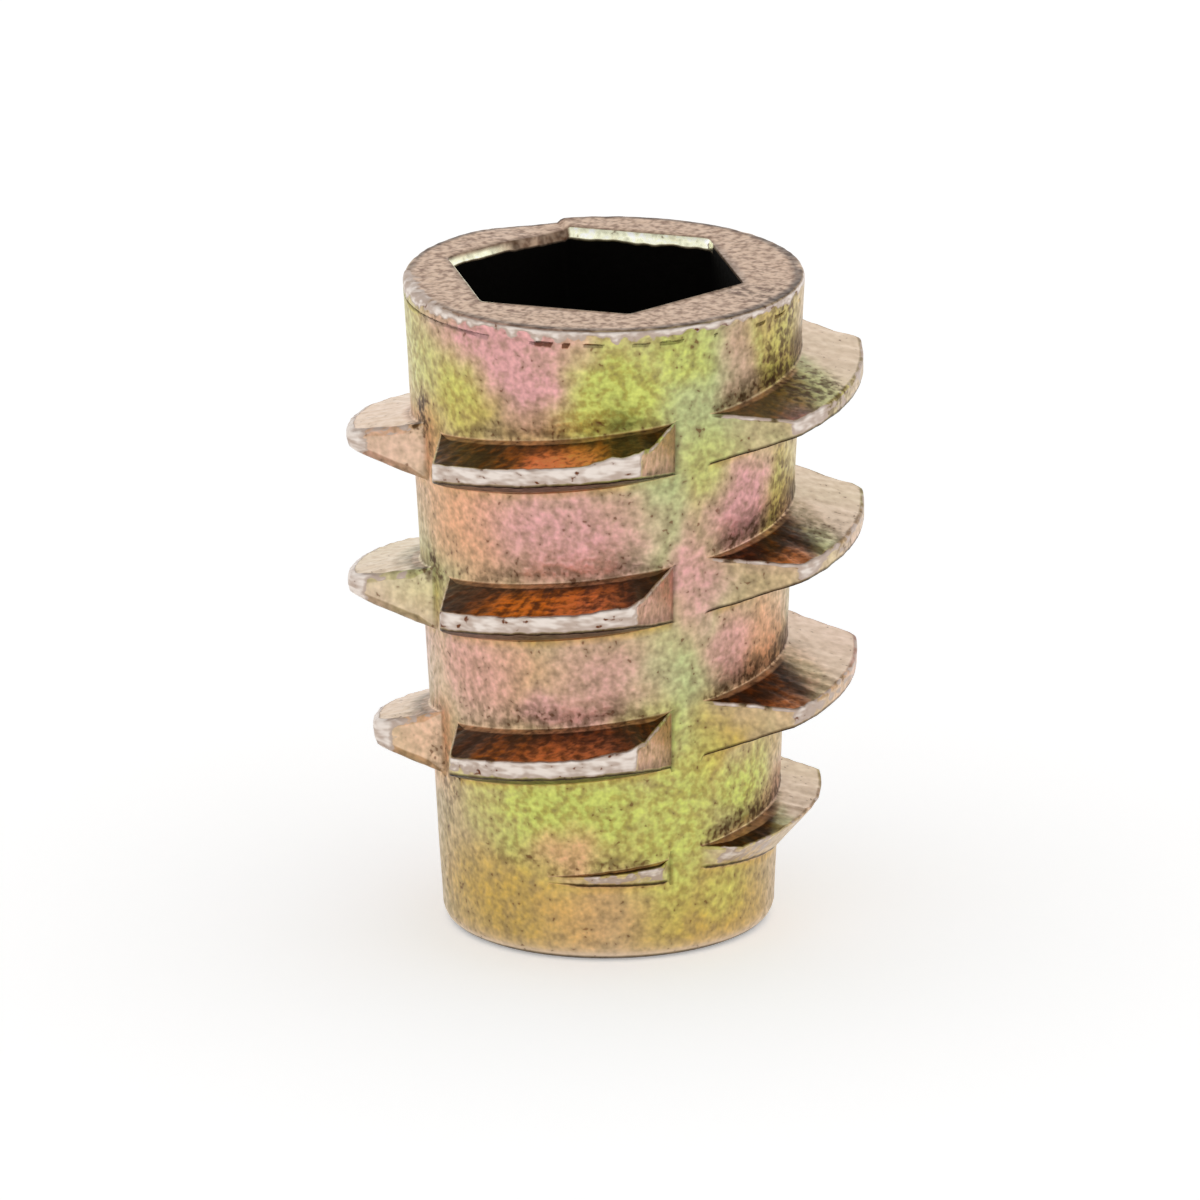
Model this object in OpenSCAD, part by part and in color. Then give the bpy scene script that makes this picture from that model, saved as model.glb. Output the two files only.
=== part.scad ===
// Hex-drive threaded insert for wood, flush type, cast in one piece.
// A tapered sleeve carries a coarse wood thread outside, a hex socket at its
// mouth and a machine-thread bore below it. The casting die opens in four
// directions, so the wood thread is a run of separate fins with smooth lanes
// between them.

/* [Sleeve] */
// Length of the insert, from tip to rim
insert_length = 15; // [10:0.5:25]
// Outside diameter of the sleeve at the rim
sleeve_rim_d = 9; // [8.6:0.1:9.6]
// Outside diameter of the sleeve at the tip
sleeve_tip_d = 7.45; // [7:0.05:8.4]
// Rounding of the tip's outer edge
tip_round = 0.25; // [0.1:0.05:0.35]
// Bevel of the rim's outer edge
rim_bevel = 0.1; // [0.05:0.05:0.25]

/* [Wood thread] */
// Diameter over the crests
crest_d = 11.6; // [10.8:0.1:12.4]
// Rise of the thread in one turn
thread_pitch = 3.43; // [3:0.01:4]
// Depth of the topmost fin's crest below the rim
thread_start = 2.23; // [1.6:0.01:4]
// Thickness of a fin at its crest
crest_land = 0.34; // [0.2:0.02:0.5]
// Slope of a fin's upper flank, in degrees from level
upper_flank = 11; // [5:0.5:20]
// Slope of a fin's lower flank, in degrees from level
lower_flank = 23; // [10:0.5:35]

/* [Casting die] */
// Angle from a fin's middle to its end, at the sleeve
fin_half_angle = 39.6; // [35:0.1:42]
// Draft of a fin's end faces
end_draft = 7; // [2:0.5:12]
// Rounding of a fin's corners, seen from above
fin_corner_r = 0.3; // [0.1:0.05:0.5]
// How far that rounding reaches past the crest, where it is trimmed to a faint crease
corner_crease = 0.02; // [0.01:0.01:0.05]

/* [Lead-in taper of the wood thread] */
// Height where the fins reach full depth
full_depth_z = 7.6; // [6:0.1:10]
// Height where the taper grows steeper
taper_mid_z = 5; // [4:0.1:6]
// How far the crests have stepped in there
taper_mid_drop = 0.35; // [0.2:0.05:0.6]
// Height where the last, steepest part starts
taper_low_z = 2.9; // [2.4:0.1:3.6]
// How far the crests have stepped in there
taper_low_drop = 1.05; // [0.8:0.05:1.2]
// Height where the fins run out into the sleeve
run_out_z = 1.8; // [1.2:0.1:2.2]

/* [Hex socket] */
// Width across the flats, for a 6 mm key
hex_af = 6; // [5.6:0.1:6.2]
// Depth of the socket
hex_depth = 5.5; // [4:0.1:7]
// Depth of the bevel around the socket's mouth
mouth_bevel_h = 0.25; // [0.1:0.05:0.5]
// Width of the bevel around the socket's mouth
mouth_bevel_w = 0.1; // [0.05:0.05:0.2]

/* [Machine thread] */
// Bore through the crests of the M6 thread
bore_d = 5; // [4:0.1:5.2]
// Bevel at the two ends of the bore
bore_lead = 0.4; // [0.2:0.05:0.5]
// Least ledge left around the bore on the socket's floor
socket_ledge = 0.1; // [0.05:0.05:0.3]

/* [Hidden] */
cut = 0.5;
chromate = [0.71, 0.62, 0.42];
full_turn = 360;
right_angle = 90;
hex_sides = 6;
sleeve_rim_r = sleeve_rim_d / 2;
sleeve_tip_r = sleeve_tip_d / 2;
sleeve_rise = sleeve_rim_r - sleeve_tip_r;
sleeve_angle = atan(sleeve_rise / insert_length);
crest_r = crest_d / 2;
// the fillet at the tip touches the tip's face and the sleeve's cone
tip_c = sleeve_tip_r + tip_round * tan(sleeve_angle) - tip_round / cos(sleeve_angle);
// helix angle half-way up a full fin
helix_angle = atan(thread_pitch / (PI * (crest_r + sleeve_rim_r)));
fin_drop = thread_pitch * right_angle / full_turn;
fin_count = floor((insert_length - thread_start - run_out_z) / fin_drop) + 2;
// the ring that a fin is cut from starts inside the sleeve's wall
ring_in_r = sleeve_tip_r - cut;
ring_out_r = crest_r + cut;
bore_r = bore_d / 2;
bore_lead_r = min(bore_r + bore_lead, hex_af / 2 - socket_ledge);
bore_lead_h = bore_lead_r - bore_r;
socket_floor = insert_length - hex_depth;

$fn = 96;

// outside radius of the sleeve at a height
function sleeve_r(z) = sleeve_tip_r + sleeve_rise * z / insert_length;

// height of a fin's middle, counted down the helix
function fin_z(i) = insert_length - thread_start - fin_drop * i;

module sleeve_profile() {
    union() {
        polygon([
            [0, 0], [tip_c, 0], [tip_c, tip_round],
            [tip_c + tip_round * cos(sleeve_angle), tip_round - tip_round * sin(sleeve_angle)],
            [sleeve_r(insert_length - rim_bevel), insert_length - rim_bevel],
            [sleeve_rim_r - rim_bevel, insert_length], [0, insert_length]
        ]);
        translate([tip_c, tip_round]) circle(tip_round);
    }
}

// one full ring with a fin's section, tipped to the helix angle
module fin_ring() {
    rotate([helix_angle, 0, 0])
        rotate_extrude()
            polygon([
                [ring_in_r, -crest_land / 2 - (crest_r - ring_in_r) * tan(lower_flank)],
                [ring_out_r, -crest_land / 2 + (ring_out_r - crest_r) * tan(lower_flank)],
                [ring_out_r, crest_land / 2 - (ring_out_r - crest_r) * tan(upper_flank)],
                [ring_in_r, crest_land / 2 + (crest_r - ring_in_r) * tan(upper_flank)]
            ]);
}

// outline of a fin seen from above: drafted ends, rounded corners, round crest.
// root_r is the sleeve's radius where the fin stands.
module fin_plan(root_r) {
    end_d = root_r * sin(fin_half_angle + end_draft);
    corner_at = crest_r - fin_corner_r + corner_crease;
    corner_a = asin((end_d - fin_corner_r) / corner_at) - end_draft;
    corner_x = corner_at * cos(corner_a);
    corner_y = corner_at * sin(corner_a);
    end_x = corner_x + fin_corner_r * sin(end_draft);
    end_y = corner_y + fin_corner_r * cos(end_draft);
    inner_x = root_r * cos(fin_half_angle) - cut;
    inner_y = root_r * sin(fin_half_angle) + cut * tan(end_draft);
    far_x = crest_d * cos(corner_a);
    far_y = crest_d * sin(corner_a);
    intersection() {
        circle(crest_r);
        union() {
            polygon([
                [inner_x, -inner_y], [end_x, -end_y], [corner_x, -corner_y], [far_x, -far_y],
                [far_x, far_y], [corner_x, corner_y], [end_x, end_y], [inner_x, inner_y]
            ]);
            for (side = [-1, 1])
                translate([corner_x, side * corner_y]) circle(fin_corner_r);
        }
    }
}

// one fin, at its place on the helix
module fin(i) {
    reach = crest_d;
    translate([0, 0, fin_z(i)])
        rotate(-right_angle * i)
            intersection() {
                fin_ring();
                translate([0, 0, -reach / 2])
                    linear_extrude(reach) fin_plan(sleeve_r(fin_z(i)));
            }
}

// space that the crests stay within, narrowing to the tip
module lead_in_taper() {
    mid_r = crest_r - taper_mid_drop;
    low_r = crest_r - taper_low_drop;
    taper_slope = taper_mid_drop / (full_depth_z - taper_mid_z);
    steep_slope = (low_r - sleeve_r(run_out_z)) / (taper_low_z - run_out_z);
    wide_r = crest_r + 2 * cut;
    wide_z = full_depth_z + 2 * cut / taper_slope;
    // the steep cone carries on into the sleeve's wall
    inner_r = ring_in_r - cut;
    inner_z = run_out_z - (sleeve_r(run_out_z) - inner_r) / steep_slope;
    rotate_extrude()
        polygon([
            [0, inner_z], [inner_r, inner_z], [low_r, taper_low_z],
            [mid_r, taper_mid_z], [wide_r, wide_z],
            [wide_r, insert_length], [0, insert_length]
        ]);
}

module wood_thread() {
    intersection() {
        union() for (i = [0 : fin_count - 1]) fin(i);
        lead_in_taper();
    }
}

// slab with flared sides: three of them, crossed, leave a flared hexagon
module hex_flare() {
    flare_h = mouth_bevel_h + cut;
    flare_w = mouth_bevel_w * flare_h / mouth_bevel_h;
    intersection_for (turn = [0 : 2])
        rotate(turn * full_turn / hex_sides)
            translate([-hex_af, 0, insert_length - mouth_bevel_h])
                rotate([right_angle, 0, right_angle])
                    linear_extrude(2 * hex_af)
                        polygon([
                            [-hex_af / 2, 0], [hex_af / 2, 0],
                            [hex_af / 2 + flare_w, flare_h], [-hex_af / 2 - flare_w, flare_h]
                        ]);
}

module hex_socket() {
    hex_r = hex_af / 2 / cos(full_turn / hex_sides / 2);
    translate([0, 0, socket_floor]) cylinder(h = hex_depth + cut, r = hex_r, $fn = hex_sides);
    hex_flare();
}

module bore() {
    rotate_extrude()
        polygon([
            [0, -cut], [bore_lead_r + cut, -cut], [bore_r, bore_lead_h],
            [bore_r, socket_floor - bore_lead_h], [bore_lead_r, socket_floor],
            [bore_lead_r, socket_floor + cut], [0, socket_floor + cut]
        ]);
}

module insert_body() {
    color(chromate)
        difference() {
            union() {
                rotate_extrude() sleeve_profile();
                wood_thread();
            }
            hex_socket();
            bore();
        }
}

insert_body();
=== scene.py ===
import math
import random

import bmesh
import bpy
from mathutils import Matrix, Vector, noise


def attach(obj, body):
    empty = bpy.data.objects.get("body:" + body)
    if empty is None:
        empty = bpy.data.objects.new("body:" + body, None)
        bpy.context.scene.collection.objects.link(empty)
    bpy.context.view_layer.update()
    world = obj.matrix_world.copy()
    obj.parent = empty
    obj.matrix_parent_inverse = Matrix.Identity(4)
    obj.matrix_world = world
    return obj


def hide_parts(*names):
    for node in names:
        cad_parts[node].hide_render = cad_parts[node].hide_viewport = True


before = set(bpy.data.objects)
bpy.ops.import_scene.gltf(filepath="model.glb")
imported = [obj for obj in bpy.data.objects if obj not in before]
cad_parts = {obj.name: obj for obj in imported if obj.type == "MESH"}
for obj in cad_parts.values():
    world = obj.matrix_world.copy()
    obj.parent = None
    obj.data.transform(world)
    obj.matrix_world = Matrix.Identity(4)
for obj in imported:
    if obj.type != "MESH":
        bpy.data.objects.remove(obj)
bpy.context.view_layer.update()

scene = bpy.context.scene
mm = 0.001
fullTurn = 360
quarterTurn = 90


def toRad(degrees):
    return math.radians(degrees)


def mixed(a, b, share):
    return a + (b - a) * share


def clamped(value, low=0.0, high=1.0):
    return max(low, min(high, value))


def eased(value, start, end):
    t = clamped((value - start) / (end - start))
    return t * t * (3 - 2 * t)


def angleGap(a, b):
    # how far a is past b, from -180 to 180
    return (a - b + 180) % fullTurn - 180


def grain(angle, z, radius, size, seed=0.0):
    # smooth noise on the insert's own surface, about -1 to 1; size is in mm
    a = toRad(angle)
    spot = Vector((radius * math.cos(a), radius * math.sin(a), z))
    return noise.noise(spot / size + Vector((seed, seed, seed)))


# The sleeve. All sizes here are in mm and degrees; angles run from +X towards +Y.
sleeve = {
    "length": 15.0,
    "rimRadius": 4.5,
    "tipRadius": 3.705,
    "tipRound": 0.36,
    "unevenness": 0.012,      # slow waves of the cast skin
}


def sleeveRadius(z):
    return mixed(sleeve["tipRadius"], sleeve["rimRadius"], z / sleeve["length"])


def skin(angle, z):
    # what the cast skin adds to the sleeve's radius
    return grain(angle, z, sleeveRadius(z), 1.3) * sleeve["unevenness"]


# The wood thread: 14 fins down a helix, one in each quarter of the casting die at a time
fins = {
    "crestRadius": 5.8,
    "pitch": 3.43,
    "firstHeight": 12.77,
    "turns": 4,               # fins above one another in each quarter
    "halfAngle": 39.6,
    "leftDraft": 13,          # slope of a fin's two ends, seen from above
    "rightDraft": 7,
    "cornerRound": 0.3,
    "edgeRound": 0.05,
    "rootRound": 0.06,
    "crestWear": 0.022,       # how deep the crests are rubbed
    "crestWave": 0.04,        # how far their edges wander
    "leftLift": 0.03,         # how far the left end of a crest is thickened upwards, and where
    "leftSpan": (-36, -24),
    "burr": 0.04,             # the burr at its right end: height, where it rises, where it falls off
    "burrSpan": (12, 21),
    "burrFade": (25, 30),
    "wearAndHighlightBand": 0.16,       # how far in from the crest the bare metal, with its painted highlight, shows
    "stripWidth": 0.15,       # the painted highlight on the fillet along a fin's upper root
    "endCreaseReach": 1.6,    # how wide the painted shade at the roots of a fin's two ends is, in degrees
    "shadeMiddle": -4,        # where along a fin the painted shade above it is, and where it fades
    "shadeSpan": (24, 38),
    # the lead-in: height and radius that the crests stay within
    "taper": [(1.8, 3.83), (2.9, 4.8), (5.0, 5.5), (7.4, 5.8), (11.3, 6.3), (16.0, 6.94)],
    "wideCrestFrom": 4.0,     # fins below this height get the taper's slope as a wide crest
    "wideCrestTo": 2.9,
    # the last front fin only just comes out of the sleeve, more so to its right
    "lastReach": 0.3,
    "lastSpan": (-9, 28),
    "runOutStep": 0.07,       # how far the lowest fins still stand proud where they run out
    "runOut": (1.86, 1.86),   # height where they run out, at their left and right
}

# The four quarters of the die, from +X on: the first fin in each, the form of its thread and its wear.
# land: how far the crest reaches below and above its middle
# rub: how bare the crest is at its left and right, rubbed and with a painted highlight, changing over
# rubSpan
# edges, endCrease: how bare the upper edges of the left and right end are, with a painted highlight, and
# how dark the painted shade at those ends' roots is
# strip: how strong the painted highlight on the fillet along the upper root is
# grime, speckledShadeReach: how dark the painted shade on the sleeve is above that fillet, and how far up
quarters = {
    0: {"first": 0, "land": (0.225, 0.145), "upperSlope": 10.5, "lowerSlope": 20,
        "rub": (1.0, 0.45), "rubSpan": (-27, -8), "edges": (0.8, 0.3), "endCrease": (0.0, 0.4),
        "strip": 1.0, "stripWidth": 0.1, "speckledShade": 1.0, "speckledShadeReach": 0.75},
    1: {"first": 3, "land": (0.155, 0.155), "upperSlope": 11, "lowerSlope": 23,
        "rub": (0.9, 0.9), "rubSpan": (-10, 10), "edges": (0.3, 0.5), "endCrease": (0.2, 0.5),
        "strip": 0.7, "speckledShade": 0.5, "speckledShadeReach": 0.5},
    2: {"first": 2, "land": (0.11, 0.26), "upperSlope": 11, "lowerSlope": 23,
        "rub": (0.8, 1.0), "rubSpan": (-20, 20), "edges": (0.3, 0.55), "endCrease": (0.2, 0.3),
        "strip": 0.3, "speckledShade": 0.4, "speckledShadeReach": 0.4, "edgeRound": 0.15, "wearAndHighlightBand": 0.4},
    3: {"first": 1, "land": (0.22, 0.175), "upperSlope": 11, "lowerSlope": 20.3,
        "rub": (1.0, 1.0), "rubSpan": (-10, 10), "edges": (0.0, 0.7), "endCrease": (0.2, 0.6),
        "strip": 0.85, "speckledShade": 0.5, "speckledShadeReach": 0.55},
}

# Where single fins differ: drop lowers a fin, below thickens its crest downwards, and flat is the upper
# flank's slope as a share of its quarter's
finQuirks = {
    1: {"leftLift": 0.09, "burr": 0.2},
    3: {"leftLift": 0.05, "burr": 0.1},
    5: {"leftLift": 0.04, "burr": 0.12},
    7: {"leftLift": 0.02, "burr": 0.15},
    9: {"leftLift": 0.0, "burr": 0.13, "drop": 0.05},
    10: {"below": 0.1},
    12: {"below": 0.12, "flat": 0.85, "stripWidth": 0.32, "runOut": (2.08, 1.68)},
    13: {"flat": 0.55, "drop": 0.02},
}

finDrop = fins["pitch"] / 4
lastFin = 13
firstLeadInFin = 12           # the lowest fins, whose whole edge is the lead-in taper's
helixSlope = fins["pitch"] / (math.pi * (fins["crestRadius"] + sleeve["rimRadius"]))
helixCos = math.cos(math.atan(helixSlope))


def finHeight(fin):
    return fins["firstHeight"] - finDrop * fin - finQuirks.get(fin, {}).get("drop", 0)


def taperRadius(z):
    points = fins["taper"]
    for (z0, r0), (z1, r1) in zip(points, points[1:]):
        if z <= z1:
            return mixed(r0, r1, (z - z0) / (z1 - z0))
    return points[-1][1]


def crestLimit(fin):
    return min(fins["crestRadius"], taperRadius(finHeight(fin)))


def planRadius(offset, rootRadius, crest):
    # reach of a fin seen from above: round crest, rounded corner, drafted end
    corner = fins["cornerRound"]
    draft = toRad(fins["leftDraft"] if offset < 0 else fins["rightDraft"])
    a = abs(toRad(offset))
    endDistance = rootRadius * math.sin(toRad(fins["halfAngle"]) + draft)
    inner = crest - corner
    cornerAngle = math.asin(min((endDistance - corner) / inner, 1)) - draft
    if a <= cornerAngle:
        return crest
    cx, cy = inner * math.cos(cornerAngle), inner * math.sin(cornerAngle)
    if a < math.atan2(cy + corner * math.cos(draft), cx + corner * math.sin(draft)):
        # the ray meets the corner's circle
        along = cx * math.cos(a) + cy * math.sin(a)
        across = cx * cx + cy * cy - along * along
        return along + math.sqrt(max(corner * corner - across, 0))
    return endDistance / math.sin(a + draft)


def edgeWave(angle, height, seed):
    # how the crest's edges wander, in long and short waves
    return (0.7 * grain(angle, height * 3, fins["crestRadius"], 0.34, seed)
            + 0.6 * grain(angle, height * 3, fins["crestRadius"], 0.15, seed - 7))


def finCorners(angle, offset, fin):
    # the fin's section at this angle: lower root, lower edge, upper edge and upper root, each (radius,
    # height), or None where there is no fin
    if abs(offset) >= fins["halfAngle"]:
        return None
    quarter, quirk = quarters[-fin % 4], finQuirks.get(fin, {})
    middle = finHeight(fin) + fins["pitch"] * offset / fullTurn
    landBelow, landAbove = quarter["land"]
    landBelow += quirk.get("below", 0)
    rootRadius = sleeveRadius(middle)
    fullCrest = fins["crestRadius"]
    wide = 1 - eased(finHeight(fin), fins["wideCrestTo"], fins["wideCrestFrom"])
    crest = mixed(min(fullCrest, taperRadius(middle)), fullCrest, wide)
    up = math.tan(toRad(quarter["upperSlope"])) * (fullCrest - rootRadius) / (crest - rootRadius)
    up *= quirk.get("flat", 1)
    down = math.tan(toRad(quarter["lowerSlope"]))

    def lower(r):
        return middle - (landBelow + (crest - r) * down) / helixCos

    def upper(r):
        return middle + (landAbove + (crest - r) * up) / helixCos

    rub = fins["crestWear"] * (0.3 + 0.7 * abs(grain(angle, middle * 2, crest, 0.5, 5.5)))
    reach = min(planRadius(offset, rootRadius, crest), crest - rub)
    if fin == lastFin:
        reach = min(reach, rootRadius + fins["lastReach"] * eased(offset, *fins["lastSpan"]))

    def trimmed(side):
        # where the lead-in taper cuts that flank, found by halving
        if reach <= taperRadius(side(reach)):
            return reach
        low, high = machineThread["crestRadius"], reach
        for _ in range(30):
            r = (low + high) / 2
            if r <= taperRadius(side(r)):
                low = r
            else:
                high = r
        return low

    def rooted(side):
        r = rootRadius
        for _ in range(8):
            r = sleeveRadius(side(r))
        return r

    rHigh, rootHigh = trimmed(upper), rooted(upper)
    if rHigh <= rootHigh + 0.005:
        return None
    # the crest's edges are wavy; its left end is thick and its right end carries a burr
    wave = fins["crestWave"] * clamped((rHigh - rootHigh) / 0.3)
    zHigh = upper(rHigh) + wave * edgeWave(angle, finHeight(fin), 9.7)
    nearCrest = clamped((rHigh - crest + 0.5) / 0.3)
    zHigh += nearCrest * quirk.get("leftLift", fins["leftLift"]) * (1 - eased(offset, *fins["leftSpan"]))
    burr = quirk.get("burr", fins["burr"]) * eased(offset, *fins["burrSpan"])
    burr *= 1 - 0.5 * eased(offset, *fins["burrFade"])
    zHigh += nearCrest * burr * (0.85 + 0.5 * grain(angle, middle * 3, crest, 0.25, 6.1))
    rLow, rootLow = trimmed(lower), rooted(lower)
    if rLow <= rootLow + 0.005:
        # the taper has taken the whole lower flank: the crest's face runs out just proud of the sleeve
        zLow = mixed(*quirk.get("runOut", fins["runOut"]), clamped(offset / fins["halfAngle"] * 0.6 + 0.6))
        zLow += 0.02 * edgeWave(angle, finHeight(fin), 3.1)
        step = fins["runOutStep"] * clamped((rHigh - rootHigh) / 0.12)
        zLow = min(zLow, zHigh - 0.08)
        return [(sleeveRadius(zLow) + 0.001, zLow - step), (sleeveRadius(zLow) + step, zLow),
                (rHigh, zHigh), (rootHigh, upper(rootHigh))]
    zLow = lower(rLow) + wave * 0.6 * edgeWave(angle, finHeight(fin), 3.1)
    return [(rootLow, lower(rootLow)), (rLow, zLow), (rHigh, zHigh), (rootHigh, upper(rootHigh))]


def laneHeights(offset, fin):
    # past a fin's end the same rows run on across the smooth lane
    quarter = quarters[-fin % 4]
    middle = finHeight(fin) + fins["pitch"] * offset / fullTurn
    reach = fins["crestRadius"] - sleeveRadius(middle)
    landBelow, landAbove = quarter["land"]
    low = middle - landBelow - reach * math.tan(toRad(quarter["lowerSlope"]))
    high = middle + landAbove + reach * math.tan(toRad(quarter["upperSlope"]))
    if fin <= lastFin:
        low = max(low, fins["taper"][0][0])
    return squeezed(low), squeezed(high)


def squeezed(z):
    # rows of turns that would start below the tip are packed into the plain end of the sleeve
    lowest, plainEnd, deepest = 0.42, 1.15, -1.6
    if z >= plainEnd:
        return z
    return mixed(lowest, plainEnd, clamped((z - deepest) / (plainEnd - deepest)))


# how many rows of points each stretch of a turn gets, going up
turnStretches = [("lowerRoot", 3), ("under", 5), ("lowerEdge", 3), ("land", 4), ("upperEdge", 3),
                 ("upper", 6), ("upperRoot", 3)]
rowKinds = [(kind, step) for kind, count in turnStretches for step in range(count)]


def straightRows(kind, length, strip):
    # where the rows of a straight stretch lie, measured from its lower end
    if kind == "under":
        return [0.05 * length, 0.22 * length, 0.42 * length, 0.65 * length,
                max(length - 0.05, 0.9 * length)]
    if kind == "land":
        return [min(0.04, 0.15 * length), 0.38 * length, 0.62 * length,
                max(length - 0.04, 0.85 * length)]
    return [min(0.05, 0.1 * length), 0.3 * length, 0.55 * length, max(length - strip - 0.06, 0.6 * length),
            max(length - strip, 0.66 * length), max(length - 0.03, 0.93 * length)]


def roundedPath(corners, radii, strip):
    # points along a path whose inner corners are rounded, as many on each stretch as turnStretches says
    vecs = [Vector(c) for c in corners]
    rounds = []
    for i, radius in enumerate(radii, 1):
        before, after = vecs[i - 1] - vecs[i], vecs[i + 1] - vecs[i]
        cut = min(radius, before.length * 0.45, after.length * 0.45)
        rounds.append((vecs[i] + before.normalized() * cut, vecs[i], vecs[i] + after.normalized() * cut))
    points = []
    for n, (kind, count) in enumerate(turnStretches):
        start, middle, end = rounds[n // 2]
        if n % 2 == 0:
            for s in range(count):
                t = s / (count - 1)
                points.append(start * (1 - t) ** 2 + middle * 2 * t * (1 - t) + end * t ** 2)
        else:
            goal = rounds[n // 2 + 1][0]
            length = max((goal - end).length, 1e-6)
            points.extend(end.lerp(goal, d / length) for d in straightRows(kind, length, strip))
    return [(p.x, p.y) for p in points]


# What the upper flanks show, by fin: painted reflections of warm light caught on them, and painted shade at
# their ends. Each has a tint, where along the fin it is and how far it reaches (degrees), how far out it
# starts (radius) and its strength.
glows = {
    0: [("rose", -24, 10, 5.1, 0.9)],
    1: [("ember", 8.5, 12.5, 4.75, 1.2), ("amber", 7, 20, 4.5, 0.3), ("crease", 30, 15, 3.9, 0.75),
        ("crease", -34, 26, 3.9, 0.4)],
    3: [("ember", -6, 14, 4.7, 0.8)],
    4: [("ember", -22, 9, 4.9, 0.75)],
    5: [("amber", 3, 22, 4.35, 1.0), ("ember", 14, 12, 4.6, 0.45), ("crease", -31, 21, 3.9, 0.65),
        ("crease", 36, 14, 3.9, 0.7)],
    7: [("amber", 6, 24, 4.4, 0.8)],
    8: [("ember", -24, 12, 4.8, 0.8)],
    9: [("amber", -3, 20, 4.4, 0.4), ("ember", 8, 18, 4.4, 0.5), ("crease", -32, 20, 3.9, 0.5)],
    11: [("amber", -4, 20, 4.4, 0.5)],
}

# On the right-hand fins only a wedge at their left end has painted shade
darkWedge = {
    "ends": (1, -16),         # how far it reaches along the fin, at the sleeve and at the crest
    "softness": 4.5,
    "topShade": 0.72,         # how dark it is on the topmost fin, against the others
    "mintPast": 4,            # a greenish band runs just past its border
    "mintReach": (3, 10),
    "linePast": -3,           # and a painted line of shade just before it, on all but the topmost fin
    "lineReach": (1, 4),
    "line": 0.5,
    "leadInLine": 0.9,
}


def flankTints(offset, fin, r, rootR):
    # painted light and shade on the upper flanks: painted shade on the front and back; at the sides painted
    # light, away from their left end
    quarter = -fin % 4
    outward = clamped((r - rootR) / (crestLimit(fin) - rootR))
    tint = {}
    if quarter in (1, 3):
        dark = 1.0
    elif quarter == 0:
        past = offset - mixed(*darkWedge["ends"], outward)
        dark = 1 - eased(past, -darkWedge["softness"], darkWedge["softness"])
        tint["mint"] = 1 - eased(abs(past - darkWedge["mintPast"]), *darkWedge["mintReach"])
        if fin > 3:
            line = darkWedge["leadInLine" if fin >= firstLeadInFin else "line"]
            tint["crease"] = (1 - eased(abs(past - darkWedge["linePast"]), *darkWedge["lineReach"])) * line
    else:
        # painted shade at the root only
        dark = 0.6 * (1 - eased(r, 4.3, 4.55))
    tint.update({"upper": dark, "pale": (1 - dark) * (1 - 0.7 * tint.get("mint", 0))})
    if fin >= firstLeadInFin:
        tint["under"] = 0.5 * dark
    if fin == 0:
        tint["upper"] = darkWedge["topShade"] * dark
    for name, at, reach, start, strength in glows.get(fin, []):
        share = 1 - eased(abs(offset - at), reach * 0.3, reach)
        share *= eased(r, start, start + 0.5) * strength
        tint[name] = max(tint.get(name, 0.0), share)
    return tint


def finTints(kind, step, angle, offset, fin, r, z):
    # what shows at one point of a fin
    look = quarters[-fin % 4]
    isRight, isLeft, isFront = look is quarters[0], look is quarters[2], look is quarters[3]
    rootR = sleeveRadius(z)
    proud = clamped((r - rootR) / 0.2)
    leadIn = fin >= firstLeadInFin
    bandStart = crestLimit(fin) - look.get("wearAndHighlightBand", fins["wearAndHighlightBand"])
    crestness = 1.0 if leadIn else clamped((r - bandStart) / 0.08 + 0.8 * grain(angle, z, r, 0.14, 61))
    rub = mixed(*look["rub"], eased(offset, *look["rubSpan"]))
    if leadIn:
        rub *= clamped(0.62 + 1.2 * grain(angle, z, r, 0.35, 63) + 0.5 * grain(angle, z, r, 0.12, 65))
    endEdge = look["edges"][0 if offset < 0 else 1]
    if kind == "land":
        # the crest: bare where rubbed, with a painted highlight, and pale with painted light
        tint = {"wearAndHighlight": rub * crestness * proud * (0.8, 0.92, 1, 1)[step],
                "pale": 0.5 * crestness * proud}
        if isFront and offset > 0:
            # the right end's face: copper and rose, with painted shade at its foot
            tint["copper"] = 0.6 * (1 - crestness)
            tint["rose"] = 0.35 * (1 - crestness)
            tint["crease"] = (0.6 if step == 0 else 0.1) * (1 - crestness)
        if isLeft and not leadIn:
            tint["pale"] = 0.45
        return tint
    if kind == "upperEdge":
        broken = grain(angle, z, r, 0.22, 67)
        # bare where rubbed, with a painted highlight, on the crest and along the ends' upper edges
        edgeWearAndHighlight = max(rub * crestness, endEdge * (1 - crestness) * clamped(0.9 + 1.3 * broken))
        tint = {"wearAndHighlight": edgeWearAndHighlight * proud, "crease": clamped(-3 * broken - 0.3) * (1 - crestness) * isRight}
        if isRight and offset > 3:
            tint["crease"] = 0.4
        return tint
    # painted shade along the crest's lower edge and on the under flank, with a gold line and some of the
    # painted root highlight at its foot
    if kind == "lowerEdge":
        if isLeft:
            return {"crease": 0.35, "wearAndHighlight": crestness * rub}
        return {"under": (1, 1, 0.6)[step] * clamped(proud * 4),
                "wearAndHighlight": 0.3 * crestness * rub * (step == 2)}
    if kind == "under":
        return {"gold": 0.8, "strip": 0.3} if step < 1 else {"under": max(proud, 0.9)}
    flank = flankTints(offset, fin, r, rootR)
    shown = flank["upper"] if isRight else 1
    if kind == "upper":
        if step > 3:
            flank["strip"] = look["strip"] * shown
            flank["under"] = 0
        return flank
    if kind == "upperRoot":
        # the upper root: its fillet's painted highlight and painted light, painted shade in the corner on
        # the right-hand fins past their dark wedge, and painted shade above
        fading = (1, 0.5, 0.1)[step]
        return {"strip": look["strip"] * shown * fading, "pale": flank["pale"] * fading,
                "crease": (0.1, 0.7, 0.8)[step] * (1 - shown), "speckledShade": look["speckledShade"] * (0, 0.4, 0.8)[step]}
    # the lower root: gold, with some of the painted root highlight
    return {"gold": 0.9, "strip": (0.1, 0.4, 0.4)[step]}


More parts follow.
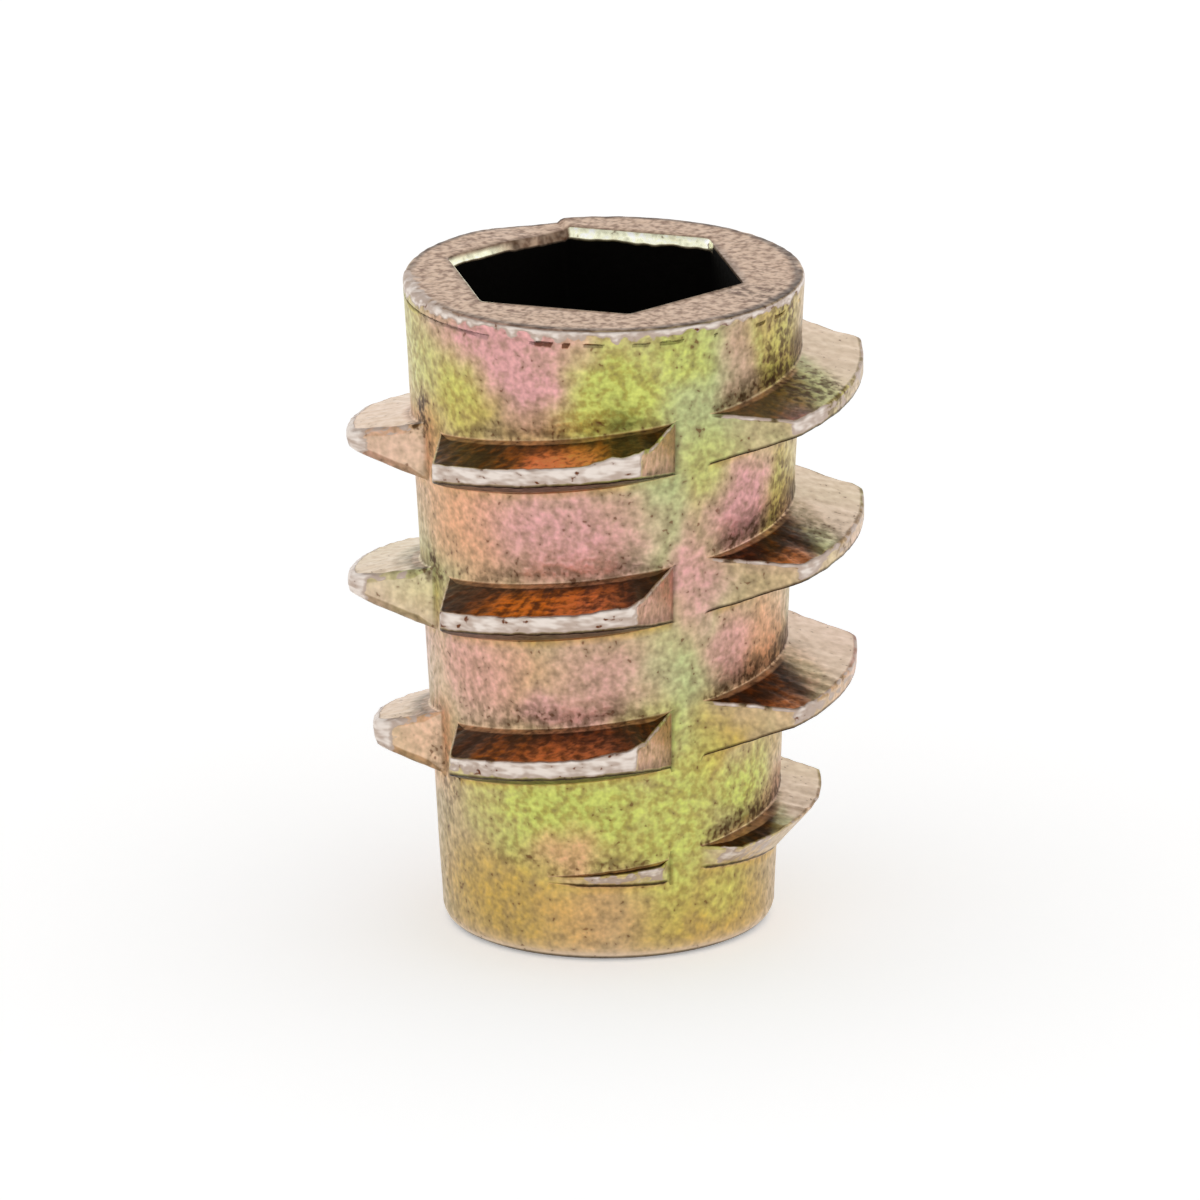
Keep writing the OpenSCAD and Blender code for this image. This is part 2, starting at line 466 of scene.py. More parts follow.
def turnRows(angle, offset, fin):
    # one turn's rows at this angle: radius, height and what shows there
    corners = finCorners(angle, offset, fin)
    look, quirk = quarters[-fin % 4], finQuirks.get(fin, {})
    gap = 0.06
    onFin = corners is not None
    if onFin:
        (r0, z0), (r1, z1), (r2, z2), (r3, z3) = corners
        z0 = min(z0, z1 - gap * 0.5)
        z3 = max(z3, z2 + gap * 0.5)
        corners = [(sleeveRadius(z0), z0), (r1, z1), (r2, z2), (sleeveRadius(z3), z3)]
    else:
        low, high = laneHeights(offset, fin)
        high = max(high, low + gap)
        corners = [(sleeveRadius(z), z) for z in (low - gap, low, high, high + gap)]
    rootGap = fins["rootRound"] * 1.3
    first, last = corners[0][1] - rootGap, corners[3][1] + rootGap
    corners = [(sleeveRadius(first), first), *corners, (sleeveRadius(last), last)]
    edgeRound = look.get("edgeRound", fins["edgeRound"])
    strip = quirk.get("stripWidth", look.get("stripWidth", fins["stripWidth"]))
    path = roundedPath(corners, [fins["rootRound"], edgeRound, edgeRound, fins["rootRound"]], strip)
    # painted shade where a fin's end meets the sleeve
    nearEnd = 1 - clamped(abs(abs(offset) - fins["halfAngle"]) / fins["endCreaseReach"])
    endCrease = look["endCrease"][0 if offset < 0 else 1] * nearEnd
    rows = []
    for (r, z), (kind, step) in zip(path, rowKinds):
        tint = finTints(kind, step, angle, offset, fin, r, z) if onFin else {}
        if kind in ("land", "lowerEdge", "upperEdge", "under") and endCrease > 0:
            tint["crease"] = max(tint.get("crease", 0), endCrease)
        rows.append((r, z, tint))
    return rows


# The rim, the hexagon socket and the machine thread below it
rim = {
    "band": 0.32,             # the rim's own rows start this far down
    "rowsBelow": (0.22, 0.17, 0.13, 0.09, 0.055, 0.02, 0.0),
    "round": 0.1,
    "roundSteps": 5,
    "faceSteps": 9,
    "waves": 0.012,
    "mouthDip": 0.012,
    # the bare band below the edge, rubbed and with a painted highlight, is deepest at the front
    "frontAngle": 284, "frontSpan": (22, 48),
    # a shallow step in the casting at the back corner of the hexagon, fading out along the rim
    "stepAngle": 121.2, "stepWidth": 1.6, "stepEnd": 153, "stepDepth": 0.1,
    # the rim is rubbed down most on the left
    "wornAngle": 212, "wornSpread": 24, "wornRound": 0.09,
}

socket = {
    "acrossFlats": 5.98,
    "depth": 5.5,
    # how far the bevel at the mouth, with its painted highlight, reaches down, by side, starting with the
    # one that faces 30 degrees
    "bevelHeights": (0.07, 0.23, 0.21, 0.05, 0.05, 0.05),
    "bevelWidths": (0.01, 0.1, 0.09, 0.02, 0.01, 0.01),
    "bevelShine": (0.0, 1.0, 1.0, 0.8, 0.35, 0.3),
    # the cast hexagon is a little off centre at its mouth
    "offCentre": (-0.24, 0.165),
    "turned": 0.9,
    "trueBelow": 3.5,         # and runs true from this far down
    "cornerSharpness": 90,
    # the bevel's rows: share of its width, how far down in bevel heights, how dark with painted shade
    "bevelRows": [(0.9, 0.1, 0.0), (0.5, 0.5, 0.0), (0.1, 0.9, 0.0), (0.0, 1.0, 0.6), (0.0, 1.2, 1.0)],
    "wallSteps": 9,
    "floorSteps": 3,
}

machineThread = {
    "crestRadius": 2.5,
    "rootRadius": 3.0,
    "pitch": 1.0,
    "rowsPerTurn": 11,
    "leadRadius": 2.9,
    "leadHeight": 0.4,
    "inset": 0.03,            # how far in from the bore's ends its rows start
}


def worn(angle):
    # how far the rim is rubbed down here, from 0 to 1
    return math.exp(-(angleGap(angle, rim["wornAngle"]) / rim["wornSpread"]) ** 2)


def rimRound(angle):
    ragged = 0.5 + 0.5 * grain(angle, 0, sleeve["rimRadius"], 0.3, 12.0)
    return rim["round"] * (0.6 + 0.8 * ragged) + rim["wornRound"] * worn(angle) * (0.6 + 0.8 * ragged)


def rimDrop(angle):
    # how far the casting step lowers the rim's face here
    past = angleGap(angle, rim["stepAngle"])
    rise = eased(past, -rim["stepWidth"] / 2, rim["stepWidth"] / 2)
    if past < 0 and rise == 0:
        return 0.0
    return rim["stepDepth"] * rise * (1 - eased(past, 6, rim["stepEnd"] - rim["stepAngle"]))


def hexRadius(angle, half, depth=0.0, flare=0.0):
    # distance from the axis to the hexagon's side, its corners slightly rounded; flare is the share of the
    # bevels that it takes in
    k = socket["cornerSharpness"]
    stray = 1 - eased(depth, 0, socket["trueBelow"])
    total = 0
    for n in range(6):
        side = toRad(30 + 60 * n + socket["turned"] * stray)
        off = stray * (socket["offCentre"][0] * math.cos(side) + socket["offCentre"][1] * math.sin(side))
        off += flare * socket["bevelWidths"][n]
        total += math.exp(k * (math.cos(toRad(angle) - side) * half / (half + off) - 1))
    return half / (1 + math.log(total) / k)


def machineThreadRadius(angle, z):
    ridge = abs((z / machineThread["pitch"] - angle / fullTurn) % 1.0 - 0.5) * 2      # 1 on the crest
    depth = clamped((1 - ridge - 0.06) / 0.82)
    return mixed(machineThread["crestRadius"], machineThread["rootRadius"], depth)


# The mesh: rings and columns of points, and what shows at each
tintNames = ["wearAndHighlight", "upper", "pale", "under", "crease", "inside", "face", "bevel", "speckledShade", "strip",
             "rose", "green", "mint", "gold", "copper", "ember", "amber"]
meshPoints, meshFaces = [], []
tints = {name: [] for name in (*tintNames, "around", "out")}

# Patches of colour in the passivated skin, and patches of painted shade (the grime and crease rows). Each
# row has a tint, the angle and height of its middle, its reach round in degrees and up in mm, its lean (how
# far round it moves, in degrees per mm going up) and its strength.
patches = [
    # above the first fins
    ("rose", 255, 14.6, 27, 0.9, 0, 1.0),
    ("rose", 262, 13.9, 16, 1.3, -4, 1.0),
    ("green", 241, 13.5, 15, 1.5, 0, 0.6),
    ("gold", 243, 12.9, 16, 0.9, 0, 0.7),
    ("green", 290, 13.3, 19, 1.7, 0, 1.0),
    ("gold", 282, 12.6, 30, 0.6, 0, 0.6),
    ("mint", 316, 13.4, 17, 2.2, 0, 1.0),
    ("green", 310, 14.3, 12, 0.9, 0, 0.8),
    ("rose", 331, 14.0, 8, 1.1, 0, 0.45),
    ("green", 338, 14.2, 5, 0.7, 0, 0.7),
    ("gold", 351, 14.0, 14, 1.5, 0, 0.6),
    ("green", 352, 13.6, 12, 1.5, 0, 0.5),
    ("speckledShade", 352, 13.7, 10, 1.9, 0, 0.75),
    # the ends of the first two fins and the lane between
    ("green", 319, 11.6, 8, 0.9, 0, 0.5),
    ("mint", 304, 11.6, 11, 1.6, 0, 1.0),
    ("copper", 219, 11.6, 11, 1.2, 0, 0.45),
    ("gold", 225, 11.7, 7, 1.0, 0, 0.8),
    ("speckledShade", 226, 11.7, 4, 0.8, 0, 0.35),
    ("mint", 217, 8.2, 10, 1.0, 0, 0.9),
    ("green", 219, 7.8, 8, 0.7, 0, 0.8),
    ("copper", 218, 4.7, 11, 1.1, 0, 0.8),
    # between the first and second front fins
    ("copper", 242, 10.2, 25, 1.3, 0, 0.9),
    ("rose", 276, 10.1, 28, 1.4, 0, 0.85),
    ("rose", 293, 9.3, 13, 0.9, 0, 0.6),
    ("mint", 305, 10.2, 10, 1.8, 2, 0.9),
    ("rose", 317, 9.0, 9, 1.4, -2, 0.8),
    ("rose", 335, 10.5, 12, 1.1, 0, 1.0),
    ("gold", 352, 10.5, 9, 1.4, 0, 0.6),
    ("green", 350, 10.3, 8, 1.2, 0, 0.5),
    ("mint", 321, 8.3, 7, 0.9, 0, 0.8),
    ("speckledShade", 355, 10.3, 8, 1.5, 0, 0.5),
    ("speckledShade", 276, 9.1, 34, 0.28, 2, 0.3),
    # between the second and third
    ("rose", 238, 6.5, 21, 1.4, 0, 0.55),
    ("copper", 250, 6.7, 22, 0.9, 0, 0.55),
    ("rose", 288, 6.7, 18, 1.2, 0, 0.6),
    ("rose", 276, 5.95, 22, 0.5, 0, 0.75),
    ("speckledShade", 270, 5.75, 34, 0.35, 2, 0.5),
    ("mint", 309, 6.4, 14, 1.6, 0, 0.9),
    ("green", 303, 5.5, 13, 1.0, 0, 0.7),
    ("rose", 330, 7.2, 11, 0.9, 0, 0.7),
    ("copper", 347, 7.0, 16, 1.3, 0, 0.9),
    ("gold", 322, 4.9, 9, 1.1, 0, 0.8),
    # the lead-in end
    ("green", 275, 3.5, 38, 1.4, 0, 1.0),
    ("green", 310, 3.3, 18, 2.4, 0, 0.85),
    ("gold", 300, 2.4, 24, 1.3, 0, 0.4),
    ("green", 338, 3.7, 18, 0.9, 0, 0.9),
    ("copper", 274, 2.65, 13, 0.6, 0, 0.75),
    ("gold", 254, 1.3, 42, 1.3, 0, 0.75),
    ("copper", 285, 1.1, 19, 0.9, 0, 0.3),
    ("gold", 325, 1.0, 36, 1.4, 0, 0.75),
    ("green", 332, 1.4, 14, 0.8, 0, 0.5),
    # on the outer parts of the right-hand fins
    ("mint", 25, 9.6, 14, 1.0, 0, 0.6),
    ("rose", 6, 9.5, 12, 1.0, 0, 0.5),
    ("rose", 9, 3.2, 14, 0.7, 0, 0.5),
    ("green", 14, 2.75, 12, 0.4, 0, 0.5),
    # painted shade where the right-hand and left-hand fins meet the sleeve
    ("crease", 6, 13.66, 9, 0.28, 0, 0.8),
    ("crease", 6, 10.24, 9, 0.3, 0, 0.95),
    ("crease", 6, 6.8, 9, 0.28, 0, 0.8),
    ("speckledShade", 218, 12.2, 4, 0.5, 0, 1.0),
    ("speckledShade", 219, 8.75, 4, 0.35, 0, 1.0),
    ("speckledShade", 222, 3.6, 6, 1.3, 0, 0.45),
    ("copper", 12, 6.0, 26, 1.0, 0, 0.6),
]


# The sides away from the front get patches of the same kinds by chance
scattered = {
    "count": 56,
    "seed": 14,
    "tints": ("rose", "green", "gold", "copper", "mint"),
    # ranges of the angle, height, reach round, reach up, lean and strength
    "ranges": ((22, 205), (0.5, 14.5), (16, 42), (0.8, 2.0), (-9, 9), (0.35, 0.8)),
}


def scatterPatches():
    dice = random.Random(scattered["seed"])
    for n in range(scattered["count"]):
        name = scattered["tints"][n % len(scattered["tints"])]
        patches.append((name, *(dice.uniform(*span) for span in scattered["ranges"])))


scatterPatches()


def patchTints(angle, z, r):
    # the patches' borders wander, coarsely and finely
    warpAngle = angle + 5 * grain(angle, z, r, 0.9, 21.0) + 2 * grain(angle, z, r, 0.3, 23.0)
    warpZ = z + 0.3 * grain(angle, z, r, 0.9, 25.0) + 0.12 * grain(angle, z, r, 0.3, 27.0)
    core, border = 0.3, 1.45      # shares of its reach where a patch is full, and where it ends
    found = {}
    for name, atAngle, atZ, reachAngle, reachZ, lean, strength in patches:
        dz = (warpZ - atZ) / reachZ
        if abs(dz) > border:
            continue
        da = angleGap(warpAngle, atAngle + lean * (warpZ - atZ)) / reachAngle
        weight = (1 - eased(math.hypot(da, dz), core, border)) * strength
        if weight > 0:
            found[name] = max(found.get(name, 0.0), weight)
    return found


def addPoint(angle, r, z, tint=None):
    a = toRad(angle)
    meshPoints.append((r * math.cos(a) * mm, r * math.sin(a) * mm, z * mm))
    patched, own = patchTints(angle, z, r), tint or {}
    for name in tintNames:
        tints[name].append(max(patched.get(name, 0.0), own.get(name, 0.0)))
    tints["around"].append(angle % fullTurn)
    tints["out"].append(r)
    return len(meshPoints) - 1


def addRing(ringAngles, place):
    return [addPoint(a, *place(a)) for a in ringAngles]


def joinRings(lower, upper):
    for n in range(len(lower)):
        m = (n + 1) % len(lower)
        meshFaces.append((lower[n], lower[m], upper[m], upper[n]))


def growRing(ring, ringAngles, place):
    # one more ring of points, joined to the last
    nextRing = addRing(ringAngles, place)
    joinRings(ring, nextRing)
    return nextRing


def joinToCoarse(fine, coarse):
    # three sides of the fine ring to each side of the coarse one
    for n in range(len(coarse)):
        m = (n + 1) % len(coarse)
        f = [fine[(3 * n + s) % len(fine)] for s in range(4)]
        meshFaces.append((f[0], f[1], coarse[n]))
        meshFaces.append((f[1], f[2], coarse[n]))
        meshFaces.append((f[2], coarse[m], coarse[n]))
        meshFaces.append((f[2], f[3], coarse[m]))


def zipColumns(left, right):
    # joins two upright columns whose points stand at different heights
    i, j = 0, 0
    while i < len(left) - 1 or j < len(right) - 1:
        nextLeft = meshPoints[left[i + 1]][2] if i < len(left) - 1 else math.inf
        nextRight = meshPoints[right[j + 1]][2] if j < len(right) - 1 else math.inf
        if nextLeft <= nextRight:
            meshFaces.append((left[i], right[j], left[i + 1]))
            i += 1
        else:
            meshFaces.append((left[i], right[j], right[j + 1]))
            j += 1


# The outer skin's columns of points, the angle of the first, and the rows on its plain stretches: below the
# lowest fin, between fins and above the topmost
columns = {"count": 360, "seam": 45, "below": 8, "between": 11, "above": 15}


def columnAngles():
    # evenly spaced from the seam, which lies in the back lane, with one column on each end of a fin
    angles = [columns["seam"] + fullTurn * n / columns["count"] for n in range(columns["count"])]
    for quarter in range(1, 5):
        middle = quarter * quarterTurn
        for wanted in (middle - fins["halfAngle"], middle + fins["halfAngle"]):
            nearest = min(range(len(angles)), key=lambda n: abs(angles[n] - wanted))
            angles[nearest] = wanted
    return angles


def outerColumn(angle):
    # from the top of the tip's fillet to just under the rim
    quarter = int((angle + quarterTurn / 2) % fullTurn // quarterTurn)
    offset = (angle + quarterTurn / 2) % quarterTurn - quarterTurn / 2
    first = quarters[quarter]["first"]
    turns = [turnRows(angle, offset, first + 4 * turn) for turn in reversed(range(fins["turns"]))]
    bottom = sleeve["tipRound"] * 0.97      # the fillet's last point
    top = sleeve["length"] - rim["band"]
    column = []

    def plain(z0, z1, count, fin=None):
        # rows up the plain sleeve, with painted shade above a fin's root
        look = quarters[quarter]
        onShade = 1 - eased(abs(offset - fins["shadeMiddle"]), *fins["shadeSpan"])
        shadeAmount = look["speckledShade"] * onShade if fin is not None else 0.0
        for s in range(1, count + 1):
            z = mixed(z0, z1, s / (count + 1))
            reach = look["speckledShadeReach"] * (1 + 0.5 * grain(angle, 0, sleeve["rimRadius"], 0.8, 51))
            near = 1 - eased(z - z0, 0, reach)
            column.append((sleeveRadius(z), z, {"speckledShade": shadeAmount * near}))

    # a faint painted light where the fillet meets the sleeve
    column.append((sleeveRadius(bottom), bottom, {"pale": 0.15}))
    plain(bottom, turns[0][0][1], columns["below"])
    for n, rows in enumerate(turns):
        column.extend(rows)
        fin = first + 4 * (fins["turns"] - 1 - n)
        fin = fin if fin <= lastFin else None
        if n < len(turns) - 1:
            plain(rows[-1][1], turns[n + 1][0][1], columns["between"], fin)
        else:
            plain(rows[-1][1], top, columns["above"], fin)
    column.append((sleeveRadius(top), top, {}))
    # the cast skin waves less out on the fins
    return [(r + skin(angle, z) * (1 - 0.6 * clamped(r - sleeveRadius(z))), z, tint)
            for r, z, tint in column]


def buildOuterSkin(angles):
    outer = [outerColumn(a) for a in angles]
    grid = [[addPoint(a, *spot) for spot in column] for a, column in zip(angles, outer)]
    for left, right in zip(grid, grid[1:]):
        for row in range(len(left) - 1):
            meshFaces.append((left[row], right[row], right[row + 1], left[row + 1]))
    zipColumns(grid[-1], grid[0])
    return [column[0] for column in grid], [column[-1] for column in grid]


def buildRim(angles, ring):
    # the sleeve's last stretch, its rounded edge and the flat face as far as the hexagon
    length = sleeve["length"]
    for below in rim["rowsBelow"]:

        def underRim(angle):
            z = length - rimDrop(angle) - rimRound(angle) - below
            ragged = grain(angle, 3, sleeve["rimRadius"], 0.2, 31.0)
            front = 1 - eased(abs(angleGap(angle, rim["frontAngle"])), *rim["frontSpan"])
            bare = clamped(0.9 + mixed(1.8, 1.1, front) * ragged - below * mixed(11, 4, front))
            speck = (0.7 * grain(angle, 9, sleeve["rimRadius"], 0.3, 33)
                     + grain(angle, z * 3, sleeve["rimRadius"], 0.1, 34))
            dark = 0.35 * clamped(2.5 * speck - 0.2)
            dark *= eased(below, 0.03, 0.06) * (1 - eased(below, 0.1, 0.13))
            return sleeveRadius(z) + skin(angle, z), z, {"wearAndHighlight": bare, "crease": dark}

        ring = growRing(ring, angles, underRim)
    for s in range(1, rim["roundSteps"] + 1):
        rise = s / rim["roundSteps"]
        turn = toRad(90 * s / rim["roundSteps"])

        def rimEdge(angle):
            size = rimRound(angle)
            edgeZ = length - rimDrop(angle) - size
            r = sleeveRadius(edgeZ) + skin(angle, edgeZ) - size + size * math.cos(turn)
            # the rounding: bare with a painted highlight on its lower half, darker on its upper half,
            # except where the rim is worn
            dark = eased(rise, 0.4, 0.8) * clamped(0.9 + grain(angle, 3, r, 0.4, 35.0)) * (1 - worn(angle))
            bare = mixed(1 - eased(rise, 0.4, 0.7), 0.8 + 0.6 * grain(angle, rise, r, 0.2, 37), worn(angle))
            return r, edgeZ + size * math.sin(turn), {"wearAndHighlight": bare, "face": rise, "crease": dark}

        ring = growRing(ring, angles, rimEdge)
    for s in range(1, rim["faceSteps"] + 1):
        share = (s / rim["faceSteps"]) ** 1.3
        atEdge, atMouth = s == 1, s == rim["faceSteps"]

        def rimFace(angle):
            size = rimRound(angle)
            outerR = sleeveRadius(length - size) + skin(angle, length - size) - size
            r = mixed(outerR, hexRadius(angle, socket["acrossFlats"] / 2 + 0.01, 0, 1), share)
            dip = abs(grain(angle, 30, r, 0.5, 2.2)) * rim["waves"] * (1 - abs(2 * share - 1) ** 4)
            dip += rim["mouthDip"] * atMouth
            bare = worn(angle) * clamped(0.8 - share * 3)
            dark = 0.75 * (1 - worn(angle)) * atEdge + 0.5 * atMouth
            return r, length - rimDrop(angle) - dip, {"wearAndHighlight": bare, "face": 1.0, "crease": dark}

        ring = growRing(ring, angles, rimFace)
    return ring


def buildSocket(angles, ring):
    half = socket["acrossFlats"] / 2
    floorZ = sleeve["length"] - socket["depth"]
    wallFrom = socket["bevelRows"][-1][1]
    wallRows = [(0.0, wallFrom + s, 1) for s in range(1, socket["wallSteps"] + 1)]
    for flare, down, dark in socket["bevelRows"] + wallRows:

        def socketWall(angle):
            side, past = divmod(angle % fullTurn - socket["turned"], 60)
            side = int(side) % 6
            ragged = grain(angle, 0, half, 0.28, 41.0)
            height = socket["bevelHeights"][side] * (1 + 0.2 * ragged)
            z = sleeve["length"] - height * min(down, wallFrom)
            if down > wallFrom:
                z = mixed(z, floorZ, (down - wallFrom) / socket["wallSteps"])
            depth = sleeve["length"] - z
            r = hexRadius(angle, half, depth, flare) + grain(angle, z, half, 0.6, 4.4) * 0.006
            drop = rimDrop(angle) * clamped((z - floorZ) / socket["depth"])
            shine = socket["bevelShine"][side]
            # painted shade on the bevels of sides 0, 4 and 5, and in flecks on side 1
            unlit = 0.8 * (side in (0, 4, 5))
            if side == 2:
                # the painted highlight on the edge is thin here, with painted shade above it, and dies away
                # towards the back corner
                shine *= eased(past, 22, 40) * eased(down, 0.3, 0.6)
                unlit = clamped(0.7 + ragged) * (1 - shine)
            elif side == 1:
                unlit = clamped(2.5 * ragged - 0.6) * (down < 0.3)
            # the bevel's painted highlight
            bright = clamped(shine * (1.2 + 0.6 * ragged))
            return r, z - drop, {"inside": dark, "bevel": (1 - dark) * bright, "face": 1 - shine,
                                 "crease": unlit * (1 - dark)}

        ring = growRing(ring, angles, socketWall)
    for s in range(1, socket["floorSteps"] + 1):
        share = s / socket["floorSteps"]

        def socketFloor(angle):
            r = mixed(hexRadius(angle, half, socket["depth"]), machineThread["leadRadius"], share)
            # painted shade on the socket's floor
            return r, floorZ, {"inside": 1.0}

        ring = growRing(ring, angles, socketFloor)
    return ring


def boreWall(angle, z):
    # the machine thread, opening into a lead at either end
    top = sleeve["length"] - socket["depth"]
    lead = machineThread["leadHeight"]
    cone = machineThread["crestRadius"] + max(z - (top - lead), lead - z, 0)
    return max(machineThreadRadius(angle, z), cone)


def buildBore(angles, ring):
    # coarser round than the socket, but fine along the bore; every third column carries on
    boreAngles = angles[::3]
    end = machineThread["inset"]
    start = sleeve["length"] - socket["depth"] - end
    count = int((start - end) / machineThread["pitch"] * machineThread["rowsPerTurn"])
    for row in range(count):
        z = mixed(start, end, row / (count - 1))
        # painted shade in the bore, lighter towards the tip
        nextRing = addRing(boreAngles, lambda a: (boreWall(a, z), z, {"inside": clamped(z / 1.5)}))
        join = joinToCoarse if row == 0 else joinRings
        join(ring, nextRing)
        ring = nextRing
    return ring


def buildTip(angles, boreRing, skinRing):
    # the tip's face and its fillet, out to the outer skin
    ring = addRing(angles, lambda a: (machineThread["leadRadius"], 0, {}))
    joinToCoarse(ring, boreRing)
    size = sleeve["tipRound"]
    centre = sleeve["tipRadius"] - size
    for share in (0.33, 0.67, 1.0):
        ring = growRing(ring, angles, lambda a: (mixed(machineThread["leadRadius"], centre, share), 0, {}))
    # the fillet has painted shade towards the floor and painted light above
    filletTints = ({"crease": 1.0}, {"crease": 1.0}, {"pale": 1.0}, {"pale": 0.4})
    steps = len(filletTints) + 1
    for s, tint in enumerate(filletTints, 1):
        turn = toRad(90 * s / steps)
        reach, lift = size * math.sin(turn), size * (1 - math.cos(turn))
        ring = growRing(ring, angles, lambda a: (centre + reach + 0.006 * s / steps, lift, tint))
    joinRings(ring, skinRing)


def buildInsert():
    angles = columnAngles()
    bottomRing, topRing = buildOuterSkin(angles)
    print("outer skin:", len(meshPoints), "points")
    mouthRing = buildRim(angles, topRing)
    floorRing = buildSocket(angles, mouthRing)
    boreRing = buildBore(angles, floorRing)
    buildTip(angles, boreRing, bottomRing)
    mesh = bpy.data.meshes.new("insertBody")
    mesh.from_pydata(meshPoints, [], meshFaces)
    work = bmesh.new()
    work.from_mesh(mesh)
    bmesh.ops.recalc_face_normals(work, faces=work.faces)
    openEdges = sum(1 for e in work.edges if not e.is_manifold)
    work.to_mesh(mesh)
    work.free()
    for name, values in tints.items():
        mesh.attributes.new(name, "FLOAT", "POINT").data.foreach_set("value", values)
    mesh.shade_smooth()
    print("insert:", len(mesh.vertices), "points,", sum(len(p.vertices) - 2 for p in mesh.polygons),
          "triangles, edges not closed:", openEdges)
    piece = bpy.data.objects.new("insertBody", mesh)
    scene.collection.objects.link(piece)
    return piece


insertBody = buildInsert()
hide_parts("insert_body")
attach(insertBody, "root")


def fromScreen(r, g, b):
    # a colour as a screen shows it, 0 to 255, to the linear value that a shader takes
    def one(v):
        v /= 255
        return v / 12.92 if v <= 0.04045 else ((v + 0.055) / 1.055) ** 2.4
    return (one(r), one(g), one(b), 1.0)


# The finish: yellow chromate on cast zinc, iridescent, sandy and rubbed through on the crests, with painted
# highlights there and painted light and shade on the fins, the sleeve and in the socket
chromate = {
    "tan": (196, 170, 132),
    "dun": (180, 160, 120),
    "rose": (207, 154, 151),
    "green": (186, 191, 100),
    "moss": (184, 178, 82),
    "mint": (175, 181, 128),
    "gold": (191, 157, 74),
    "copper": (213, 160, 124),
    "face": (203, 173, 147),      # the rim's face and its dark grains
    "faceDark": (162, 130, 108),
    "pale": (236, 214, 190),      # flanks that catch the light
    "strip": (216, 172, 134),     # painted highlight on the fillet along a fin's upper root
    "cream": (255, 254, 222),     # painted highlight on the bevel at the socket's mouth
    "bare": (236, 224, 214),
    "bareGrey": (190, 170, 156),
    "pit": (112, 66, 42),
    # the speckled painted shade above the fins' roots and at the sleeve's edges
    "shadeBrown": (74, 50, 22),
    "darkBrown": (60, 33, 5),     # painted shade on the dark flanks
    # painted reflections on the flanks: brown, amber and a warm glow
    "brown": (118, 65, 6),
    "amber": (226, 140, 10),
    "ember": (255, 165, 104),
    "shadow": (34, 18, 6),
    "deepShade": (10, 7, 4),           # painted shade inside the socket and the bore
    "grainPerMm": 5.2,            # size of the sandy speckle
    "pepperPerMm": 11.0,          # and of the fine dark specks
    "cloudPerMm": 0.9,
    "grainDepth": 0.009,          # mm
    "metallic": 0.9,
}


class Finish:
    # a material's nodes, with short ways to add to them
    def __init__(self, name):
        self.material = bpy.data.materials.new(name)
        self.material.use_nodes = True
        self.nodes, self.links = self.material.node_tree.nodes, self.material.node_tree.links
        self.shader = self.nodes["Principled BSDF"]
        self.place = self.nodes.new("ShaderNodeTexCoord").outputs["Object"]

    def feed(self, target, value):
        if isinstance(value, bpy.types.NodeSocket):
            self.links.new(value, target)
        else:
            target.default_value = value

    def tint(self, name):
        node = self.nodes.new("ShaderNodeAttribute")
        node.attribute_name = name
        return node.outputs["Fac"]

    def math(self, kind, a, b):
        node = self.nodes.new("ShaderNodeMath")
        node.operation = kind
        self.feed(node.inputs[0], a)
        self.feed(node.inputs[1], b)
        return node.outputs[0]

    def times(self, a, b):
        return self.math("MULTIPLY", a, b)

    def total(self, *parts):
        result = parts[-1]
        for part in reversed(parts[:-1]):
            result = self.math("ADD", part, result)
        return result

    def blend(self, *parts):
        # noises added up, each with its share
        return self.total(*(self.times(value, share) for value, share in parts))

    def swing(self, value, by, middle=0.5):
        # how far a value is from its middle, made larger or smaller
        return self.times(self.math("SUBTRACT", value, middle), by)

    def noise(self, scale, detail, rough=0.5, where=None):
        node = self.nodes.new("ShaderNodeTexNoise")
        node.inputs["Scale"].default_value = scale
        node.inputs["Detail"].default_value = detail
        node.inputs["Roughness"].default_value = rough
        self.feed(node.inputs["Vector"], where or self.place)
        return node.outputs["Fac"]

    def along(self, perDegree, perMmOut, perMmUp):
        # coordinates that follow the insert round, so that noise can be drawn out into streaks
        up = self.nodes.new("ShaderNodeSeparateXYZ")
        self.feed(up.inputs[0], self.place)
        node = self.nodes.new("ShaderNodeCombineXYZ")
        self.feed(node.inputs[0], self.times(self.tint("around"), perDegree))
        self.feed(node.inputs[1], self.times(self.tint("out"), perMmOut))
        self.feed(node.inputs[2], self.times(up.outputs["Z"], perMmUp / mm))
        return node.outputs[0]

    def ramp(self, value, low, high, toLow=0.0, toHigh=1.0):
        node = self.nodes.new("ShaderNodeMapRange")
        node.interpolation_type = "SMOOTHSTEP"
        for socketName, v in (("Value", value), ("From Min", low), ("From Max", high),
                              ("To Min", toLow), ("To Max", toHigh)):
            self.feed(node.inputs[socketName], v)
        return node.outputs["Result"]

    def mix(self, share, a, b):
        node = self.nodes.new("ShaderNodeMix")
        node.data_type = "RGBA"
        self.feed(node.inputs[0], share)
        self.feed(node.inputs[6], a)
        self.feed(node.inputs[7], b)
        return node.outputs[2]


